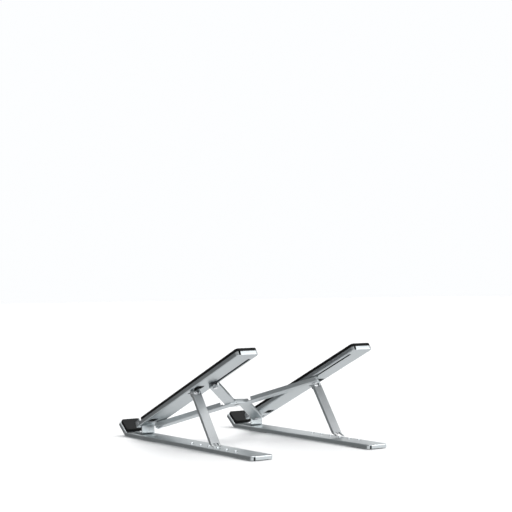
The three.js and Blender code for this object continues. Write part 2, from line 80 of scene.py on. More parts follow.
SHEET = 1.4
THIN_SHEET = 1.1
GAP = 0.3
WIDTH = RAIL_HIGH.x - RAIL_LOW.x
RAIL_LENGTH = 236
RAIL_HEIGHT = 4
LIP_ANGLE = math.radians(38)
LIP_LENGTH = 20
CORNER = 3.5
RELIEF_GAP = 2.0
RELIEF_INSET = 3.2
RELIEF_DEEPER = 0.8
BEND = 1.1
THIN_BEND = 0.9

LIP_PAD_HALF = 11.2
LIP_PAD_MARGIN = 0.8
LIP_PAD_BEND = 2.8
LIP_PAD_THICKNESS = 2.6
FOOT_HALF = 9.6
FRONT_FOOT = (24, 60)
REAR_FOOT_FRONT = 203

ARM_START_Y = -1.2
ARM_FRONT = 27.5
ARM_REAR = 235
ARM_HEIGHT = 4.3
HINGE_S = 32
HINGE_H = 3.6
EAR_HEIGHT = 6.6
EAR_CORNER = 2.4
EAR_TOP_REAR = 35.2
EAR_REAR = 37.5
FRONT_WINDOW = (0.3, 9.3, 44.5, 54.5)
SIDE_HOLE = (6.05, 131.3)
SIDE_HOLE_RADIUS = 1.9
HINGE_CUTOUT_HALF = 8
HINGE_CUTOUT_REAR = 36.2
BARREL_RADIUS = 3.2
PAD_FRONT = 38.5
PAD_TOP = 7.6
KEEL_INWARD = -4.9
KEEL_OUTWARD = 10.6
BRACKET_WIDTH = 15
BRACKET_REACH = 14.5
RIVET_SPREAD = 3.8
RIVET_AHEAD = 8
PIN_RADIUS = 1.5
HOLE_RADIUS = 1.8

STRUT_DROP = math.radians(54.2)
STRUT_S = 139
STRUT_H = -2.65
STRUT_WIDTH = 10.5
STRUT_BACK = 2.35
STRUT_DEPTH = 3.4
STRUT_HEEL = 57.3
STRUT_TOE = 64.85
TOE_BACK = 4.3
TOE_WIDTH = 2.2
STRUT_EAR_RADIUS = 2.6
STRUT_LUG = 3.0
FOOT_WINDOW = 6.3
TONGUE_END = 4.6
TONGUE_HALF = 0.9
STRUT_WINDOW = (142.4, 152)
EAR_CUTOUT = 136
EAR_CUTOUT_HALF = 2.4
SMALL_PIN_RADIUS = 1.3
SMALL_HOLE_RADIUS = 1.6

NOTCH_COUNT = 6
NOTCH_FIRST_Y = 119.5
NOTCH_PITCH = 15.5
NOTCH_FRONT = 0.8
NOTCH_REAR = 3.8
TOOTH_HALF = 1.2
TOOTH_HEIGHT = 1.0
TOOTH_ROOT = (-0.9, 0.8)
TOOTH_CREST = (-0.1, 0.5)

BAR_HALF = 84.1
BAR_OFFSET = 6
BAR_WIDTH = 11
BAR_OVERHANG = 5
BAR_CLEAR = 0.6
UPPER_BAR_BOTTOM = -4.3
LOWER_BAR_BOTTOM = -5.7
SLOT_FRONT = 153.5
SLOT_REAR = 223.7
SLOT_WIDTH = 3.4
LOWER_PIVOT_S = 42
KNEE_NEAR = 5.0
KNEE_FAR = 9.0
KNEE_SPAN = 16
LOWER_BAR_NOTCH = 15

HEAD_RADIUS = 2.7
HEAD_RIM = 0.4
HEAD_RISE = 0.8
CENTRE_HEAD_RADIUS = 3.0
BRACKET_HEAD_RADIUS = 2.4
TAIL_RADIUS = 2.2
COLLAR_RADIUS = 2.5
RING_RADIUS = 3.1
WASHER_THICKNESS = 0.9

PIVOT_X = LOWER_PIVOT.x
STRUT_X = {"right": STRUT_PIVOT.x - SIDE_X, "left": -LEFT_STRUT_PIVOT.x - SIDE_X}
SLOT_SIDE = {"right": 1, "left": -1}
PIVOT_OFFSET = PIVOT_X - SIDE_X
BAR_REACH = math.hypot(BAR_HALF, BAR_OFFSET)
BAR_ANGLE = math.asin(PIVOT_X / BAR_REACH) - math.atan(BAR_OFFSET / BAR_HALF)
CROSSING_S = LOWER_PIVOT_S + math.sqrt(BAR_REACH**2 - PIVOT_X**2)
UPPER_PIVOT_S = 2 * CROSSING_S - LOWER_PIVOT_S
BEND_Y = RAIL_HIGH.y - RAIL_LENGTH
RIVET_Y = HINGE.y - BEND_Y - RIVET_AHEAD

# how far cut edges are eased
SHEET_EDGE = 0.12
BAR_EDGE = 0.1
BRACKET_EDGE = 0.15
STRUT_EDGE = 0.25
TURNED_EDGE = 0.06

# ---------------------------------------------------------------- frames of the parts

BASE = Matrix.Translation((SIDE_X, BEND_Y, FOOT_PROUD))
ARM = Matrix.Translation((SIDE_X, BEND_Y + ARM_START_Y, FOOT_PROUD)) @ Matrix.Rotation(TILT, 4, "X")
STRUT = Matrix.Translation(STRUT_PIVOT) @ Matrix.Rotation(-STRUT_DROP, 4, "X")
LEFT_STRUT = Matrix.Translation((STRUT_X["left"] - STRUT_X["right"], 0, 0)) @ STRUT  # before it is mirrored
BARS = Matrix.Translation(CROSSING) @ Matrix.Rotation(TILT, 4, "X")
TO_METRES = Matrix.Scale(MM, 4)
MIRROR = Matrix.Scale(-1, 4, (1, 0, 0))

# x of a side view runs along Y, its y runs up, and its depth runs along X
SIDE_VIEW = Matrix(((0, 0, 1, 0), (1, 0, 0, 0), (0, 1, 0, 0), (0, 0, 0, 1)))

# ---------------------------------------------------------------- outlines


def outline(corners, inset=0.0, arc=6):
    """A closed outline, counter-clockwise, from (x, y, radius) corners, drawn inset from its edges."""
    points = []
    for i, (x, y, radius) in enumerate(corners):
        here = Vector((x, y))
        following = corners[(i + 1) % len(corners)]
        into = (here - Vector(corners[i - 1][:2])).normalized()
        onward = (Vector(following[:2]) - here).normalized()
        left_in = Vector((-into.y, into.x))
        left_on = Vector((-onward.y, onward.x))
        here = here + (left_in + left_on) * inset / (1 + left_in.dot(left_on))
        turn = math.atan2(into.x * onward.y - into.y * onward.x, into.dot(onward))
        if radius == 0 or abs(turn) < 1e-6:
            points.append(here)
            continue
        side = math.copysign(1, turn)
        bend = max(radius - side * inset, 0.06)
        start = here - into * bend * math.tan(abs(turn) / 2)
        centre = start + left_in * bend * side
        for step in range(arc + 1):
            turned = Matrix.Rotation(turn * step / arc, 2)
            points.append(centre + turned @ (start - centre))
    return points


def rectangle(x0, x1, y0, y1, radius=0.0, stations=()):
    """Corners of a rectangle, with extra points along its long sides at the stations."""
    right = [(x1, y, 0) for y in stations]
    left = [(x0, y, 0) for y in reversed(stations)]
    return [(x0, y0, radius), (x1, y0, radius), *right, (x1, y1, radius), (x0, y1, radius), *left]


# ---------------------------------------------------------------- meshes


def loft(levels):
    """A closed mesh through rings of points, each (points, height). A height may depend on the point."""
    mesh = bmesh.new()
    rings = []
    for points, height in levels:
        rise = height if callable(height) else lambda point, h=height: h
        rings.append([mesh.verts.new((p.x, p.y, rise(p))) for p in points])
    for low, high in zip(rings, rings[1:]):
        for i in range(len(low)):
            j = (i + 1) % len(low)
            mesh.faces.new((low[i], low[j], high[j], high[i]))
    mesh.faces.new(list(reversed(rings[0])))
    mesh.faces.new(rings[-1])
    return mesh


def tray(corners, sheet, bend, height, arc=5, rim=0.12):
    """Sheet metal with its floor at zero and its edge folded up all round, with a bend radius."""
    inner = max(bend - sheet, 0.25)
    top = height if callable(height) else lambda point: height
    levels = []
    for step in range(arc + 1):
        a = math.pi / 2 * step / arc
        levels.append((outline(corners, bend * (1 - math.sin(a))), bend * (1 - math.cos(a))))
    levels.append((outline(corners, 0), lambda p: top(p) - rim))
    levels.append((outline(corners, rim), top))
    levels.append((outline(corners, sheet - rim), top))
    levels.append((outline(corners, sheet), lambda p: top(p) - rim))
    for step in range(arc, -1, -1):
        a = math.pi / 2 * step / arc
        inset = sheet + inner * (1 - math.sin(a))
        levels.append((outline(corners, inset), sheet + inner * (1 - math.cos(a))))
    return loft(levels)


def slab(corners, low, high, round_low=0.0, round_high=0.0, draft=0.0, arc=4):
    """A block over an outline, with its lower and upper edges rounded and its sides drawn in by draft."""
    levels = []
    for step in range(arc + 1 if round_low else 1):
        a = math.pi / 2 * step / arc
        inset = round_low * (1 - math.sin(a))
        levels.append((outline(corners, inset), low + round_low * (1 - math.cos(a))))
    for step in range(arc + 1 if round_high else 1):
        a = math.pi / 2 * step / arc
        inset = draft + round_high * (1 - math.cos(a))
        levels.append((outline(corners, inset), high - round_high * (1 - math.sin(a))))
    return loft(levels)


def side_slab(corners, x0, x1, edge=0.0, arc=2):
    """A side view, given as (y, z, radius) corners, carried across from x0 to x1, with rounded edges."""
    mesh = slab(corners, x0, x1, edge, edge, arc=arc)
    mesh.transform(SIDE_VIEW)
    return mesh


def lathe(profile, steps=40):
    """A turned solid on the z axis, from (radius, height) pairs that rise from the axis to the axis."""
    mesh = bmesh.new()
    rings = []
    for radius, height in profile:
        if radius == 0:
            rings.append([mesh.verts.new((0, 0, height))])
            continue
        turns = [2 * math.pi * i / steps for i in range(steps)]
        rings.append([mesh.verts.new((radius * math.cos(a), radius * math.sin(a), height)) for a in turns])
    for low, high in zip(rings, rings[1:]):
        for i in range(steps):
            j = (i + 1) % steps
            corners = [low[i % len(low)], low[j % len(low)], high[j % len(high)], high[i % len(high)]]
            mesh.faces.new(list(dict.fromkeys(corners)))
    return mesh


def rod(radius, low, high, chamfer=0.25, steps=40):
    """A turned rod with chamfered and slightly domed ends."""
    dome = chamfer * 0.35
    return lathe(
        [
            (0, low - dome),
            (radius * 0.5, low - dome * 0.75),
            (radius - chamfer, low),
            (radius, low + chamfer),
            (radius, high - chamfer),
            (radius - chamfer, high),
            (radius * 0.5, high + dome * 0.75),
            (0, high + dome),
        ],
        steps,
    )


def hole(x, y, low, high, radius, steps=32):
    """A plain round cutter along z."""
    mesh = lathe([(0, low), (radius, low), (radius, high), (0, high)], steps)
    mesh.transform(Matrix.Translation((x, y, 0)))
    return mesh


def cross_hole(x0, x1, y, z, radius, steps=32):
    """A plain round cutter along X."""
    mesh = lathe([(0, x0), (radius, x0), (radius, x1), (0, x1)], steps)
    mesh.transform(Matrix.Translation((0, y, z)) @ SIDE_VIEW)
    return mesh


def box(x0, x1, y0, y1, z0, z1, radius=0.0):
    return slab(rectangle(x0, x1, y0, y1, radius), z0, z1)


def moved(mesh, matrix):
    mesh.transform(matrix)
    if matrix.determinant() < 0:
        bmesh.ops.reverse_faces(mesh, faces=mesh.faces)
    return mesh


def joined(*meshes):
    """The meshes as one, each still a body of its own."""
    whole = meshes[0]
    for mesh in meshes[1:]:
        data = bpy.data.meshes.new("part")
        mesh.to_mesh(data)
        mesh.free()
        whole.from_mesh(data)
        bpy.data.meshes.remove(data)
    return whole


def as_object(mesh, name="work"):
    data = bpy.data.meshes.new(name)
    mesh.to_mesh(data)
    mesh.free()
    made = bpy.data.objects.new(name, data)
    bpy.context.scene.collection.objects.link(made)
    return made


def combined(mesh, other, operation):
    """The mesh joined with, cut by or kept inside another."""
    body = as_object(mesh)
    tool = as_object(other, "tool")
    modifier = body.modifiers.new("combine", "BOOLEAN")
    modifier.operation = operation
    modifier.object = tool
    modifier.solver = "EXACT"
    bpy.context.view_layer.update()
    made = bpy.data.meshes.new_from_object(body.evaluated_get(bpy.context.evaluated_depsgraph_get()))
    result = bmesh.new()
    result.from_mesh(made)
    for thing in (body, tool):
        data = thing.data
        bpy.data.objects.remove(thing)
        bpy.data.meshes.remove(data)
    bpy.data.meshes.remove(made)
    bmesh.ops.remove_doubles(result, verts=result.verts, dist=0.002)
    bmesh.ops.dissolve_degenerate(result, edges=result.edges, dist=0.002)
    return result


def cut(mesh, *tools):
    return combined(mesh, joined(*tools), "DIFFERENCE")


def welded(mesh, *others):
    for other in others:
        mesh = combined(mesh, other, "UNION")
    return mesh


def sliced(mesh, y, keep_above):
    """The mesh cut off at y, with the cut closed."""
    everything = mesh.verts[:] + mesh.edges[:] + mesh.faces[:]
    result = bmesh.ops.bisect_plane(
        mesh,
        geom=everything,
        plane_co=(0, y, 0),
        plane_no=(0, 1, 0),
        clear_inner=keep_above,
        clear_outer=not keep_above,
    )
    edges = [item for item in result["geom_cut"] if isinstance(item, bmesh.types.BMEdge)]
    bmesh.ops.contextual_create(mesh, geom=edges)
    bmesh.ops.recalc_face_normals(mesh, faces=mesh.faces)
    return mesh


# ---------------------------------------------------------------- pieces into the frame


def settled(mesh, name, matrix, looks, edge):
    """The mesh as a finished object: in metres, with its cut edges eased and shaded smooth."""
    matrix = TO_METRES @ matrix
    piece = as_object(moved(mesh, matrix), name)
    for polygon in piece.data.polygons:
        polygon.use_smooth = True
    for look in looks:
        piece.data.materials.append(look)
    if edge > 0:
        bevel = piece.modifiers.new("eased_edges", "BEVEL")
        bevel.width = edge * MM
        bevel.segments = 2
        bevel.limit_method = "ANGLE"
        bevel.angle_limit = math.radians(33)
        bevel.miter_outer = "MITER_ARC"
        # the eased edges take the last look, which on metal pieces is the painted edge highlight
        bevel.material = len(looks) - 1
    weighted = piece.modifiers.new("flat_faces", "WEIGHTED_NORMAL")
    weighted.keep_sharp = True
    weighted.weight = 80
    return piece


def fit(piece, body, node):
    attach(piece, body)
    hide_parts(node)


def pair(mesh, node, matrix, part_body, looks, edge, twin=None, twin_matrix=None):
    """The piece on the right side frame, and its mirror image, or that of its twin, on the left one."""
    twin = twin or mesh.copy()
    twin_matrix = MIRROR @ (twin_matrix or matrix)
    for side, shape, place in (("right", mesh, matrix), ("left", twin, twin_matrix)):
        piece = settled(shape, f"{node}_{side}_fine", place, looks, edge)
        fit(piece, part_body(side), f"{node}_{side}")


def base_body(side):
    return f"{side}_base"


def arm_body(side):
    return f"{side}_arm"


def strut_body(side):
    return f"{side}_strut"


def far_bar(side):
    return "upper_bar" if side == "right" else "lower_bar"


# ---------------------------------------------------------------- materials


class Shader:
    """A material's nodes, with short ways to add and join them."""

    def __init__(self, name):
        self.material = bpy.data.materials.new(name)
        self.material.use_nodes = True
        self.nodes = self.material.node_tree.nodes
        self.links = self.material.node_tree.links
        self.surface = self.nodes["Principled BSDF"]
        self.place = self.nodes.new("ShaderNodeTexCoord").outputs["Object"]

    def noise(self, scale, detail=2.0, roughness=0.5, stretch=(1, 1, 1)):
        """Noise with features about 1/scale metres long."""
        mapping = self.nodes.new("ShaderNodeMapping")
        mapping.inputs["Scale"].default_value = stretch
        self.links.new(self.place, mapping.inputs["Vector"])
        texture = self.nodes.new("ShaderNodeTexNoise")
        texture.inputs["Scale"].default_value = scale
        texture.inputs["Detail"].default_value = detail
        texture.inputs["Roughness"].default_value = roughness
        self.links.new(mapping.outputs["Vector"], texture.inputs["Vector"])
        return texture.outputs["Fac"]

    def ranged(self, value, low, high, start=0.3, end=0.7):
        node = self.nodes.new("ShaderNodeMapRange")
        node.inputs["From Min"].default_value = start
        node.inputs["From Max"].default_value = end
        node.inputs["To Min"].default_value = low
        node.inputs["To Max"].default_value = high
        self.links.new(value, node.inputs["Value"])
        return node.outputs["Result"]

    def sum(self, first, second, operation="ADD"):
        node = self.nodes.new("ShaderNodeMath")
        node.operation = operation
        self.links.new(first, node.inputs[0])
        self.links.new(second, node.inputs[1])
        return node.outputs["Value"]

    def tones(self, value, dark, light):
        node = self.nodes.new("ShaderNodeMix")
        node.data_type = "RGBA"
        node.inputs["A"].default_value = (*dark, 1)
        node.inputs["B"].default_value = (*light, 1)
        self.links.new(value, node.inputs["Factor"])
        self.links.new(node.outputs["Result"], self.surface.inputs["Base Color"])

    def roughness(self, value):
        self.links.new(value, self.surface.inputs["Roughness"])

    def bump(self, value, depth, strength=1.0):
        """Relief of that depth in metres."""
        node = self.nodes.new("ShaderNodeBump")
        node.inputs["Strength"].default_value = strength
        node.inputs["Distance"].default_value = depth
        self.links.new(value, node.inputs["Height"])
        self.links.new(node.outputs["Normal"], self.surface.inputs["Normal"])


def anodised(name, low_rough, high_rough, dark, light, grain_depth):
    """Bead-blasted, silver anodised sheet: fine grain under a faint cloud."""
    shader = Shader(name)
    cloud = shader.noise(45, 3, 0.55)
    grain = shader.noise(5200, 2, 0.6)
    shader.tones(shader.ranged(cloud, 0, 1), dark, light)
    mottled = shader.ranged(cloud, low_rough, high_rough)
    sparkle = shader.ranged(grain, -0.03, 0.03)
    shader.roughness(shader.sum(mottled, sparkle))
    shader.bump(grain, grain_depth, 0.6)
    shader.surface.inputs["Metallic"].default_value = 1.0
    return shader.material


def turned_steel(name):
    """Bright headed steel with fine tool marks."""
    shader = Shader(name)
    marks = shader.noise(2600, 2, 0.6, (1, 1, 3))
    cloud = shader.noise(220, 2)
    shader.tones(shader.ranged(cloud, 0, 1), (0.66, 0.67, 0.69), (0.82, 0.83, 0.84))
    shader.roughness(shader.ranged(marks, 0.16, 0.3))
    shader.bump(marks, 4e-6, 0.6)
    shader.surface.inputs["Metallic"].default_value = 1.0
    return shader.material


def moulded(name, dark, light, low_rough, high_rough, grain_scale, grain_depth, gloss):
    """Silicone or nylon from an eroded mould, with a faint bloom."""
    shader = Shader(name)
    bloom = shader.noise(90, 3, 0.6)
    grain = shader.noise(grain_scale, 3, 0.65)
    shader.tones(shader.ranged(bloom, 0, 1), dark, light)
    mottled = shader.ranged(bloom, low_rough, high_rough)
    sparkle = shader.ranged(grain, -0.04, 0.04)
    shader.roughness(shader.sum(mottled, sparkle))
    shader.bump(grain, grain_depth, 0.7)
    shader.surface.inputs["Specular IOR Level"].default_value = gloss
    return shader.material


ARM_METAL = anodised("anodised_sheet", 0.34, 0.42, (0.50, 0.535, 0.55), (0.57, 0.60, 0.61), 9e-6)
RAIL_METAL = anodised("anodised_rail", 0.31, 0.34, (0.56, 0.595, 0.605), (0.60, 0.635, 0.645), 3e-6)
STRUT_METAL = anodised("anodised_strut", 0.42, 0.5, (0.52, 0.54, 0.55), (0.58, 0.60, 0.61), 9e-6)
# a lighter, glossier copy of the anodised metal for the eased edges: a painted highlight along every edge
EDGE_HIGHLIGHT = anodised("painted_edge_highlight", 0.2, 0.3, (0.80, 0.82, 0.83), (0.86, 0.87, 0.88), 3e-6)
STEEL = turned_steel("bright_steel")
SILICONE = moulded(
    "black_silicone", (0.005, 0.0052, 0.0055), (0.010, 0.0105, 0.011), 0.55, 0.68, 2400, 2.2e-5, 0.12
)
NYLON = moulded("grey_nylon", (0.035, 0.036, 0.04), (0.05, 0.052, 0.056), 0.38, 0.5, 1800, 8e-6, 0.5)

SHEET_LOOKS = (ARM_METAL, EDGE_HIGHLIGHT)
RAIL_LOOKS = (RAIL_METAL, EDGE_HIGHLIGHT)
STRUT_LOOKS = (STRUT_METAL, EDGE_HIGHLIGHT)

# ---------------------------------------------------------------- rail


def end_slot(side, rear, low, high):
    """The cutter for the slot between a folded end and the corner beside it."""
    x = side * (WIDTH / 2 - RELIEF_INSET)
    front = rear - SHEET - RELIEF_DEEPER
    return box(x - RELIEF_GAP / 2, x + RELIEF_GAP / 2, front, rear + 1, low, high)


BEND_RADIUS = 4.0  # of the rail's top face
NEUTRAL = BEND_RADIUS + 2.0
BEND_START = (BEND_RADIUS + RAIL_HEIGHT) * math.tan(LIP_ANGLE / 2)
LIP_RUN = LIP_LENGTH - BEND_START
BEND_RUN = NEUTRAL * LIP_ANGLE
BEND_STEPS = 8


def bent_up(mesh):
    """The straight rail with everything in front of the bend's start turned up as the lip."""
    for step in range(BEND_STEPS + 1):
        bmesh.ops.bisect_plane(
            mesh,
            geom=mesh.verts[:] + mesh.edges[:] + mesh.faces[:],
            plane_co=(0, BEND_START - BEND_RUN * step / BEND_STEPS, 0),
            plane_no=(0, 1, 0),
        )
    centre = Vector((BEND_START, BEND_RADIUS + RAIL_HEIGHT))
    for vertex in mesh.verts:
        ahead = BEND_START - vertex.co.y
        if ahead <= 0:
            continue
        angle = min(ahead / BEND_RUN, 1) * LIP_ANGLE
        beyond = max(ahead - BEND_RUN, 0)
        arm = centre.y - vertex.co.z
        along = Vector((-math.cos(angle), math.sin(angle)))
        foot = centre + arm * Vector((-math.sin(angle), -math.cos(angle))) + along * beyond
        vertex.co.y, vertex.co.z = foot
    return mesh


def notch_places():
    return [NOTCH_FIRST_Y + i * NOTCH_PITCH for i in range(NOTCH_COUNT)]


def rail(side):
    """A shallow channel, open below, with folded ends and its front turned up."""
    tip = BEND_START - BEND_RUN - LIP_RUN
    half = WIDTH / 2
    shape = tray(rectangle(-half, half, tip, RAIL_LENGTH, CORNER), SHEET, BEND, RAIL_HEIGHT)
    shape = moved(shape, Matrix.Translation((0, 0, RAIL_HEIGHT)) @ Matrix.Scale(-1, 4, (0, 0, 1)))
    shape = bent_up(shape)
    cutters = [end_slot(SLOT_SIDE[side], RAIL_LENGTH, -1, RAIL_HEIGHT - 0.55)]
    left, right = STRUT_X[side] - TOOTH_HALF, STRUT_X[side] + TOOTH_HALF
    root, crest = RAIL_HEIGHT - SHEET + 0.1, RAIL_HEIGHT + TOOTH_HEIGHT
    for y in notch_places():
        cutters.append(box(left - GAP, right + GAP, y + NOTCH_FRONT, y + NOTCH_REAR, 0, crest, 0.4))
    shape = cut(shape, *cutters)
    teeth = []
    (root_front, root_rear), (crest_front, crest_rear) = TOOTH_ROOT, TOOTH_CREST
    for y in notch_places():
        tooth = [(y + root_front, root, 0), (y + root_rear, root, 0)]
        tooth += [(y + crest_rear, crest, 0.25), (y + crest_front, crest, 0.5)]
        teeth.append(side_slab(tooth, left, right, 0.12))
    return welded(shape, joined(*teeth))


# ---------------------------------------------------------------- pads and feet


def lip_pad():
    front = LIP_PAD_MARGIN - LIP_LENGTH
    corners = rectangle(-LIP_PAD_HALF, LIP_PAD_HALF, front, -LIP_PAD_BEND, 2.5)
    low = RAIL_HEIGHT + GAP
    return slab(corners, low, low + LIP_PAD_THICKNESS, 0.2, 0.7)


def foot(front, rear):
    corners = rectangle(-FOOT_HALF, FOOT_HALF, front, rear, 3)
    return slab(corners, -FOOT_PROUD, RAIL_HEIGHT - SHEET - GAP, 0.35, 0.2)


def arm_pad():
    """A flat rest over the arm's rims, with a keel in the channel beside the rivet heads."""
    half = WIDTH / 2 - 0.2
    seat = ARM_HEIGHT + GAP
    cap = slab(
        [
            (-half, PAD_FRONT, 1.2),
            (half, PAD_FRONT, 1.2),
            (half, ARM_REAR - 0.2, CORNER),
            (-half, ARM_REAR - 0.2, CORNER),
        ],
        seat,
        PAD_TOP,
        0.15,
        0.7,
        0.25,
        5,
    )
    keel_rear = ARM_REAR - SHEET - GAP
    plan = rectangle(KEEL_INWARD, KEEL_OUTWARD, PAD_FRONT + 0.1, keel_rear, 1.9)
    return welded(cap, slab(plan, SHEET + GAP, seat + 1))


# ---------------------------------------------------------------- hinge bracket


def bracket():
    """A bent foot riveted to the rail, with its upright rolled round the hinge pin."""
    half = BRACKET_WIDTH / 2
    y, z = HINGE.y - BEND_Y, HINGE.z - FOOT_PROUD
    low = RAIL_HEIGHT + GAP
    rear = y + SHEET / 2
    angle = [
        (y - BRACKET_REACH, low, 0),
        (rear, low, 1.9),
        (rear, z, 0),
        (rear - SHEET, z, 0),
        (rear - SHEET, low + SHEET, 0.6),
        (y - BRACKET_REACH, low + SHEET, 0),
    ]
    barrel = cross_hole(-half, half, y, z, BARREL_RADIUS, 48)
    shape = welded(side_slab(angle, -half, half), barrel)
    cutters = [cross_hole(-half - 1, half + 1, y, z, HOLE_RADIUS)]
    seam = box(-half - 1, half + 1, y - BARREL_RADIUS - 1, y - HOLE_RADIUS, z - 1.5, z - 1.2)
    for x in (-RIVET_SPREAD, RIVET_SPREAD):
        cutters.append(hole(x, RIVET_Y, 0, low + 4, SMALL_HOLE_RADIUS))
    return cut(cut(shape, seam), *cutters)


def bracket_rivet():
    top = RAIL_HEIGHT + 2 * GAP + SHEET
    bottom = RAIL_HEIGHT - SHEET - GAP
    tail, head = TAIL_RADIUS, BRACKET_HEAD_RADIUS
    profile = [(0, bottom - 0.8), (tail - 0.3, bottom - 0.8), (tail, bottom - 0.5), (tail, bottom)]
    profile += [(SMALL_PIN_RADIUS, bottom), (SMALL_PIN_RADIUS, top), (head, top), (head, top + 0.2)]
    return lathe(profile + dome(head, top + 0.2, HEAD_RISE))


def dome(radius, low, rise, steps=6):
    """The profile of a button head, from its rim up to the axis."""
    quarter = math.pi / 2
    arcs = [quarter * step / steps for step in range(1, steps + 1)]
    return [(radius * math.cos(a) if a < quarter else 0, low + rise * math.sin(a)) for a in arcs]


# ---------------------------------------------------------------- arm


def arm_rim(point):
    """Height of the arm's sides: tall ears at the hinge, then the low channel."""
    s = point.y
    if s < ARM_FRONT + EAR_CORNER:
        back = ARM_FRONT + EAR_CORNER - max(s, ARM_FRONT)
        return EAR_HEIGHT - EAR_CORNER + math.sqrt(EAR_CORNER**2 - back**2)
    if s < EAR_TOP_REAR:
        return EAR_HEIGHT
    if s < EAR_REAR:
        return EAR_HEIGHT + (ARM_HEIGHT - EAR_HEIGHT) * (s - EAR_TOP_REAR) / (EAR_REAR - EAR_TOP_REAR)
    return ARM_HEIGHT


def arm(side):
    """A long channel, open above, closed at the rear, with hinge ears, strut ears and the bar's slot."""
    half = WIDTH / 2
    x = STRUT_X[side]
    rounding = [ARM_FRONT + step for step in (0, 0.3, 0.8, 1.5, EAR_CORNER)]
    stations = (*rounding, EAR_TOP_REAR, EAR_REAR, EAR_REAR + 20)
    corners = [(-half, ARM_FRONT - 4, 0), (half, ARM_FRONT - 4, 0)]
    corners += [(half, s, 0) for s in stations]
    corners += [(half, ARM_REAR, CORNER), (-half, ARM_REAR, CORNER)]
    corners += [(-half, s, 0) for s in reversed(stations)]
    shape = sliced(tray(corners, SHEET, BEND, arm_rim), ARM_FRONT, True)
    low, high = -1, SHEET + 0.6
    window_outer = min(x + STRUT_WIDTH / 2 - 0.5, half - 2)
    bay, slot = HINGE_CUTOUT_HALF, SLOT_WIDTH / 2
    slot_ends = (SLOT_FRONT, SLOT_REAR)
    cutters = [
        box(-bay, bay, ARM_FRONT - 1, HINGE_CUTOUT_REAR, -1, EAR_HEIGHT + 1),
        box(*FRONT_WINDOW, low, high, 1),
        hole(*SIDE_HOLE, low, high, SIDE_HOLE_RADIUS),
        hole(PIVOT_OFFSET, LOWER_PIVOT_S, low, high, SMALL_HOLE_RADIUS),
        box(PIVOT_OFFSET - slot, PIVOT_OFFSET + slot, *slot_ends, low, high, slot - 0.01),
        box(x - STRUT_WIDTH / 2 + 0.8, window_outer, *STRUT_WINDOW, low, high, 1.2),
        cross_hole(-half - 1, half + 1, HINGE_S, HINGE_H, HOLE_RADIUS),
        end_slot(SLOT_SIDE[side], ARM_REAR, 0.55, ARM_HEIGHT + 1),
    ]
    shape = cut(shape, *cutters)
    cutout = (x - EAR_CUTOUT_HALF, x + EAR_CUTOUT_HALF, EAR_CUTOUT, STRUT_WINDOW[0] + 1.4)
    shape = cut(shape, box(*cutout, low, high, 0.5))
    r = STRUT_EAR_RADIUS
    ear = [
        (STRUT_S - r, STRUT_H - r, r - 0.02),
        (STRUT_S + r, STRUT_H - r, r - 0.02),
        (STRUT_S + r, 0.6, 0),
        (STRUT_S - r, 0.6, 0),
    ]
    ears = []
    for direction in (-1, 1):
        outer = x + direction * (STRUT_WIDTH / 2 - THIN_SHEET - GAP)
        inner = outer - direction * THIN_SHEET
        ears.append(side_slab(ear, min(inner, outer), max(inner, outer)))
    reach = STRUT_WIDTH / 2
    shape = welded(shape, joined(*ears))
    return cut(shape, cross_hole(x - reach, x + reach, STRUT_S, STRUT_H, SMALL_HOLE_RADIUS))


# ---------------------------------------------------------------- strut


def strut():
    """A small channel with two lugs at its top and a foot with two toes that turn back behind a tooth."""
    half = STRUT_WIDTH / 2
    front = STRUT_BACK - STRUT_DEPTH
    inside = STRUT_BACK - THIN_SHEET
    r = STRUT_BACK
    side = [
        (-r, -r, r - 0.02),
        (3.2, -r, 0.8),
        (3.8, front, 0.8),
        (STRUT_HEEL, front, 0.3),
        (STRUT_TOE, TOE_BACK, 0.12),
        (STRUT_TOE - 1.6, TOE_BACK, 0.5),
        (STRUT_TOE - 4.4, STRUT_BACK, 2.5),
        (-r, STRUT_BACK, r - 0.02),
    ]
    shape = side_slab(side, -half, half, 0.6, 4)
    web = half - THIN_SHEET
    toe = half - TOE_WIDTH
    below = -STRUT_BACK - 1
    shape = cut(shape, box(-web, web, below, STRUT_HEEL - 1, below, inside))
    shape = cut(shape, box(-web, web, below, STRUT_LUG, below, STRUT_BACK + 1, 0.5))
    shape = cut(shape, cross_hole(-half - 1, half + 1, 0, 0, SMALL_HOLE_RADIUS))
    shape = cut(shape, box(-toe, toe, STRUT_HEEL - 2, STRUT_TOE + 1, below, inside))
    windows = []
    for x0, x1 in ((-toe, -TONGUE_HALF), (TONGUE_HALF, toe)):
        windows.append(box(x0, x1, STRUT_TOE - FOOT_WINDOW, STRUT_TOE + 2, -6, 8, 0.5))
    shape = cut(shape, *windows)
    reach = TONGUE_HALF + 0.2
    return cut(shape, box(-reach, reach, STRUT_TOE - TONGUE_END, STRUT_TOE + 2, -6, 8))


# ---------------------------------------------------------------- scissor bars


def dog_leg(end, end_radius):
    """Corners of a bar whose lower half lies to +x of its centre and whose upper half lies to -x."""
    inner = BAR_OFFSET - BAR_WIDTH / 2
    outer = BAR_OFFSET + BAR_WIDTH / 2
    return [
        (inner, -end, end_radius),
        (outer, -end, end_radius),
        (outer, -KNEE_NEAR, 3),
        (-inner, KNEE_FAR, 2),
        (-inner, end, end_radius),
        (-outer, end, end_radius),
        (-outer, KNEE_NEAR, 3),
        (inner, -KNEE_FAR, 2),
    ]


